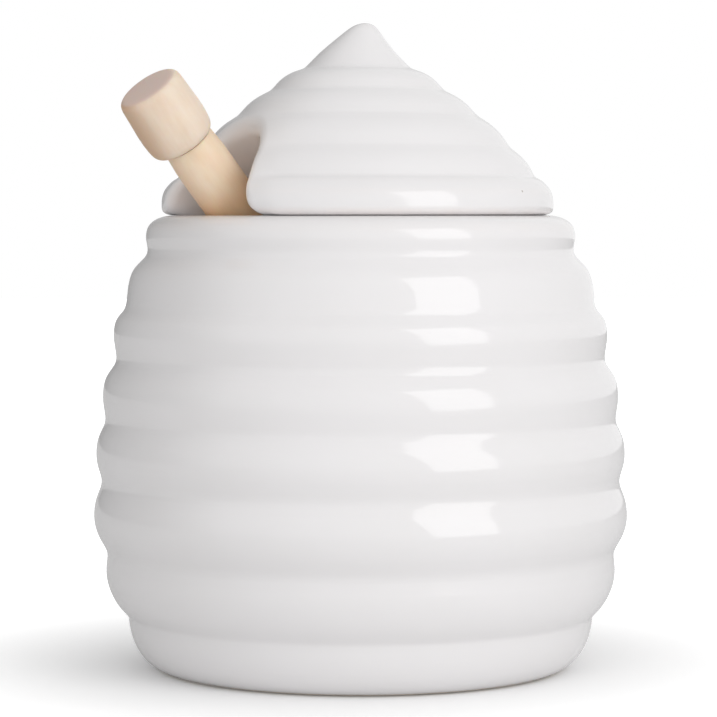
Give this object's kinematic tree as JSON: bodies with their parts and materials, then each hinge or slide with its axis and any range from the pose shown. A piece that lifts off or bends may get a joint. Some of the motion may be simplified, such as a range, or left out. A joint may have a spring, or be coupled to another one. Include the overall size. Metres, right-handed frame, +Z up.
{
  "type": "honey pot",
  "caption": "Beehive-shaped ribbed ceramic honey pot with a pointed, ringed lid and a turned wooden dipper that leans out of a notch in the lid's edge.",
  "frame": {"origin": "on the jar's axis at the table, under the middle of the foot", "axes": "+Z up along the jar's axis; the dipper leans towards -X and -Y, and -Y faces the viewer"},
  "size_m": [0.1206, 0.1206, 0.1452],
  "materials": {
    "glaze": "glossy white glaze",
    "shaft_wood": "bare, sanded",
    "knob_wood": "bare, sanded"
  },
  "bodies": {
    "jar": {"jar": "glaze"},
    "lid": {"lid": "glaze"},
    "dipper": {"dipper_shaft": "shaft_wood", "dipper_knob": "knob_wood", "dipper_head": "shaft_wood"}
  },
  "joints": [
    {"name": "lid_lift", "type": "slide", "parent": "jar", "child": "lid", "axis": [0, 0, 1], "range_m": [0, 0.08]},
    {"name": "dipper_draw", "type": "slide", "parent": "jar", "child": "dipper", "axis": [-0.5047, -0.3667, 0.7815], "range_m": [0, 0.15]}
  ]
}
